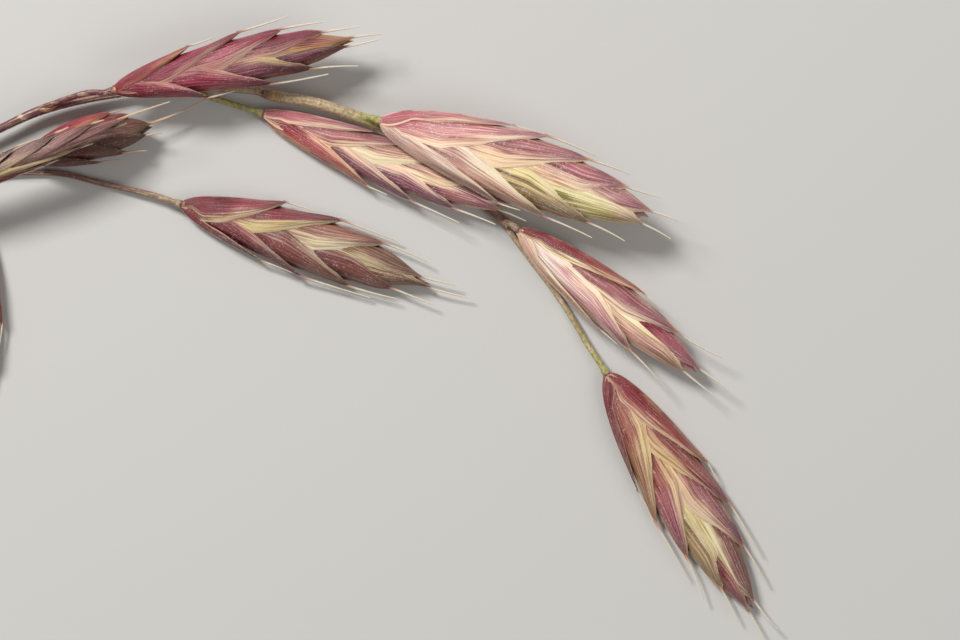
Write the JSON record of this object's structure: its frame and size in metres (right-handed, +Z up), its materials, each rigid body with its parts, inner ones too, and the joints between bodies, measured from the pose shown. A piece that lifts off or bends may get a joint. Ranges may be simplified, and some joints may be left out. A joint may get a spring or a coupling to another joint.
{
  "type": "rescue brome panicle",
  "caption": "Arching flowering tip of a brome grass, with flat overlapping spikelets, short awns and thin stems, laid flat.",
  "frame": {"origin": "on the resting plane, under the middle of the plant's box", "axes": "+X along the panicle from the cut end towards the last spikelet, +Z up from the surface it lies on"},
  "size_m": [0.105, 0.062, 0.0069],
  "materials": {
    "grass_stem": "dry grass stem, satin, finely hairy",
    "spikelet_dark": "papery, crimson to maroon with cream margins, satin",
    "spikelet_dusty": "papery, dusty pink and mauve with cream margins, satin"
  },
  "bodies": {
    "root": {"panicle_axis": "grass_stem", "spikelet_1_low": "spikelet_dark", "spikelet_2_edgewise": "spikelet_dark", "spikelet_3_behind": "spikelet_dark", "spikelet_4_lower": "spikelet_dark", "spikelet_5_upper": "spikelet_dark", "spikelet_6_under": "spikelet_dusty", "spikelet_7_over": "spikelet_dusty", "spikelet_8_bend": "spikelet_dusty", "spikelet_9_end": "spikelet_dusty"}
  },
  "joints": []
}
